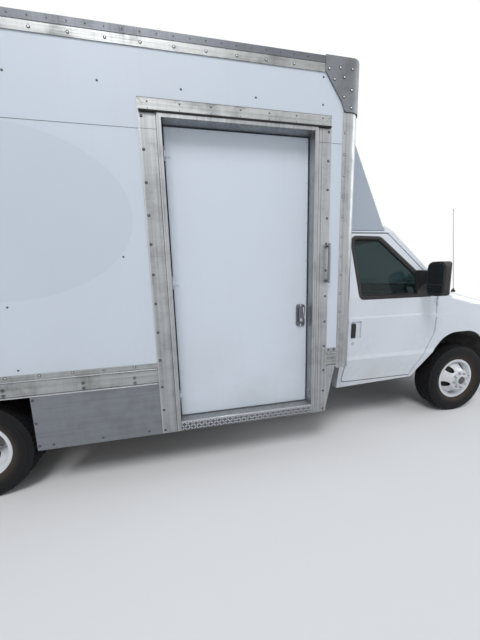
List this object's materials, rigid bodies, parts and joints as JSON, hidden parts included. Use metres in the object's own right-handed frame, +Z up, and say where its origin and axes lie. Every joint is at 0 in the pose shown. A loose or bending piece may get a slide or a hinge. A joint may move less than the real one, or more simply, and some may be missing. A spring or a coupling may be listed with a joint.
{
  "type": "box truck",
  "caption": "White cutaway box truck with a recessed curb-side door, aluminium edge rails, a wind fairing over the cab and rear doors; steers, rolls, and its doors and hood open.",
  "frame": {"origin": "on the ground, midway between the front bumper's face and the rear step's edge, on the middle plane", "axes": "+X towards the front of the truck, +Y to its left, +Z up"},
  "size_m": [7.36, 2.576, 3.165],
  "materials": {
    "cab_paint": "gloss white",
    "body_paint": "satin white, weathered",
    "mill_aluminium": "mill finish, scratched",
    "cap_casting": "dull grey casting",
    "bright_steel": "polished",
    "galvanized": "galvanized",
    "chassis_black": "black chassis paint, dusty",
    "engine_iron": "cast",
    "exhaust_steel": "heat stained",
    "black_plastic": "grained black",
    "clear_glass": "lightly tinted",
    "lamp_lens": "clear lens",
    "seat_cloth": "woven",
    "floor_wood": "hardwood strips",
    "tyre_rubber": "worn rubber",
    "wheel_steel": "silver white wheel paint"
  },
  "bodies": {
    "root": {"frame_rails": "chassis_black", "engine_block": "engine_iron", "fuel_tank": "chassis_black", "exhaust": "exhaust_steel", "rear_axle": "chassis_black", "leaf_springs": "chassis_black", "front_beams": "chassis_black", "cab_shell": "cab_paint", "windshield": "clear_glass", "front_fenders": "cab_paint", "headlamps": "lamp_lens", "grille": "black_plastic", "front_bumper": "bright_steel", "wheel_wells": "black_plastic", "seats": "seat_cloth", "dashboard": "black_plastic", "cab_fairing": "cab_paint", "box_floor": "floor_wood", "box_side_right": "body_paint", "box_side_left": "body_paint", "box_front_wall": "body_paint", "box_roof": "body_paint", "corner_posts": "mill_aluminium", "corner_caps": "cap_casting", "top_rails": "mill_aluminium", "bottom_rails": "mill_aluminium", "side_door_frame": "mill_aluminium", "grab_handle": "bright_steel", "step_well": "mill_aluminium", "skirt_panels": "mill_aluminium", "rear_frame": "mill_aluminium", "rear_bumper": "galvanized", "body_lamps": "lamp_lens"},
    "hood": {"hood": "cab_paint"},
    "side_door": {"side_door": "body_paint", "side_door_handle": "bright_steel"},
    "knuckle_right": {"knuckle_right": "chassis_black"},
    "front_wheel_right": {"front_tyre_right": "tyre_rubber", "front_rim_right": "wheel_steel"},
    "rear_wheels_right": {"rear_tyres_right": "tyre_rubber", "rear_rims_right": "wheel_steel"},
    "cab_door_right": {"cab_door_right": "cab_paint", "door_glass_right": "clear_glass", "mirror_and_handle_right": "black_plastic"},
    "rear_door_right": {"rear_door_right": "body_paint", "rear_hardware_right": "galvanized"},
    "knuckle_left": {"knuckle_left": "chassis_black"},
    "front_wheel_left": {"front_tyre_left": "tyre_rubber", "front_rim_left": "wheel_steel"},
    "rear_wheels_left": {"rear_tyres_left": "tyre_rubber", "rear_rims_left": "wheel_steel"},
    "cab_door_left": {"cab_door_left": "cab_paint", "door_glass_left": "clear_glass", "mirror_and_handle_left": "black_plastic"},
    "rear_door_left": {"rear_door_left": "body_paint", "rear_hardware_left": "galvanized"}
  },
  "joints": [
    {"name": "steer_right", "type": "hinge", "parent": "root", "child": "knuckle_right", "pos_m": [2.92, -0.796, 0.372], "axis": [0, 0, 1], "range_deg": [-35, 35]},
    {"name": "steer_left", "type": "hinge", "parent": "root", "child": "knuckle_left", "pos_m": [2.92, 0.796, 0.372], "axis": [0, 0, 1], "range_deg": [-35, 35]},
    {"name": "front_wheel_right_spin", "type": "hinge", "parent": "knuckle_right", "child": "front_wheel_right", "pos_m": [2.92, -0.8815, 0.372], "axis": [0, 1, 0], "continuous": true},
    {"name": "front_wheel_left_spin", "type": "hinge", "parent": "knuckle_left", "child": "front_wheel_left", "pos_m": [2.92, 0.8815, 0.372], "axis": [0, 1, 0], "continuous": true},
    {"name": "rear_wheels_right_spin", "type": "hinge", "parent": "root", "child": "rear_wheels_right", "pos_m": [-1.55, -0.9575, 0.372], "axis": [0, 1, 0], "continuous": true},
    {"name": "rear_wheels_left_spin", "type": "hinge", "parent": "root", "child": "rear_wheels_left", "pos_m": [-1.55, 0.9575, 0.372], "axis": [0, 1, 0], "continuous": true},
    {"name": "cab_door_right_hinge", "type": "hinge", "parent": "root", "child": "cab_door_right", "pos_m": [2.537, -1.014, 1.2], "axis": [0, 0, 1], "range_deg": [0, 65]},
    {"name": "cab_door_left_hinge", "type": "hinge", "parent": "root", "child": "cab_door_left", "pos_m": [2.537, 1.014, 1.2], "axis": [0, 0, -1], "range_deg": [0, 65]},
    {"name": "hood_hinge", "type": "hinge", "parent": "root", "child": "hood", "pos_m": [2.85, 0, 1.384], "axis": [0, -1, 0], "range_deg": [0, 50]},
    {"name": "side_door_hinge", "type": "hinge", "parent": "root", "child": "side_door", "pos_m": [-0.099, -1.137, 1.5], "axis": [0, 0, -1], "range_deg": [0, 90]},
    {"name": "rear_door_right_hinge", "type": "hinge", "parent": "root", "child": "rear_door_right", "pos_m": [-3.512, -1.244, 1.9], "axis": [0, 0, 1], "range_deg": [0, 270]},
    {"name": "rear_door_left_hinge", "type": "hinge", "parent": "root", "child": "rear_door_left", "pos_m": [-3.512, 1.244, 1.9], "axis": [0, 0, -1], "range_deg": [0, 270]}
  ],
  "couplings": [
    {"joint": "steer_left", "follows": "steer_right", "ratio": 1}
  ]
}
